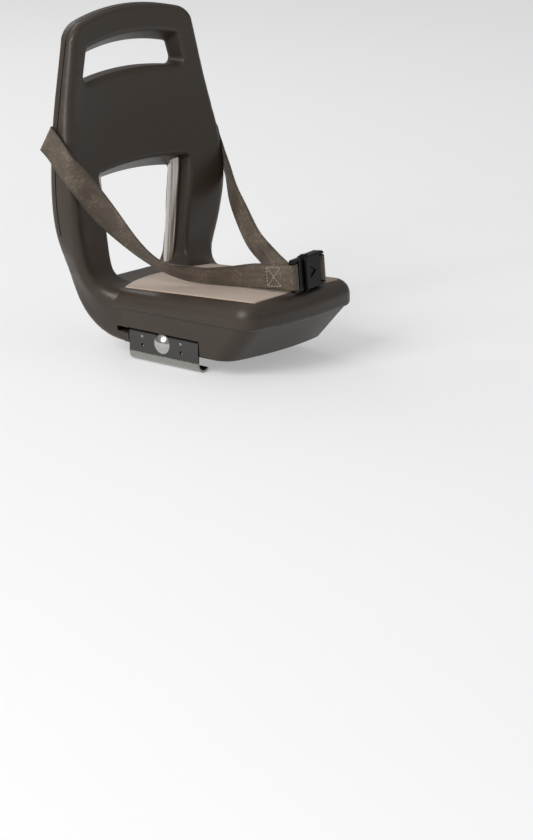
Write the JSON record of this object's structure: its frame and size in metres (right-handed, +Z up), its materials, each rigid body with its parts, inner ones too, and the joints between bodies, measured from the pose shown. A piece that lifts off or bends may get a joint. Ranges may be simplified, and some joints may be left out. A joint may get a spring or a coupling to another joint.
{
  "type": "child bike seat",
  "caption": "Rear-carrier child bike seat: moulded shell with lift handle and lower window, steel frame tube, flat pad, lap belt with side-release buckle and hook clamps.",
  "frame": {"origin": "middle of the base's underside, where it meets the carrier tubes, on the line of the two clamp bolts", "axes": "+Z up, the sitter looks along -Y, +X to the sitter's left"},
  "size_m": [0.2408, 0.2478, 0.3346],
  "materials": {
    "shell": "dark warm grey soft-touch moulding with a fine grain",
    "tube": "polished stainless tube",
    "pad": "smooth beige foam pad",
    "zinc": "zinc-plated sheet",
    "bolt": "plated domed head",
    "screw": "black zinc",
    "webbing": "brown woven webbing with a sheen",
    "buckle": "black moulded plastic"
  },
  "bodies": {
    "seat": {"seat_body": "shell", "back_cover": "shell", "frame_tube": "tube", "seat_pad": "pad", "cross_rail": "zinc", "clamp_nuts": "zinc", "rail_screws": "screw", "cover_screws": "screw", "anchor_screws": "screw", "anchor_washers": "screw", "belt_right": "webbing", "belt_left": "webbing", "buckle_tongue": "buckle"},
    "right_clamp": {"clamp_right": "zinc", "bolt_right": "bolt"},
    "left_clamp": {"clamp_left": "zinc", "bolt_left": "bolt"},
    "socket": {"buckle_socket": "buckle"}
  },
  "joints": [
    {"name": "right_clamp_slide", "type": "slide", "parent": "seat", "child": "right_clamp", "axis": [-1, 0, 0], "range_m": [0, 0.007]},
    {"name": "left_clamp_slide", "type": "slide", "parent": "seat", "child": "left_clamp", "axis": [1, 0, 0], "range_m": [0, 0.007]},
    {"name": "buckle_release", "type": "slide", "parent": "seat", "child": "socket", "axis": [0.9877, 0.1564, 0], "range_m": [0, 0.03], "deforming": ["belt_left"]}
  ]
}
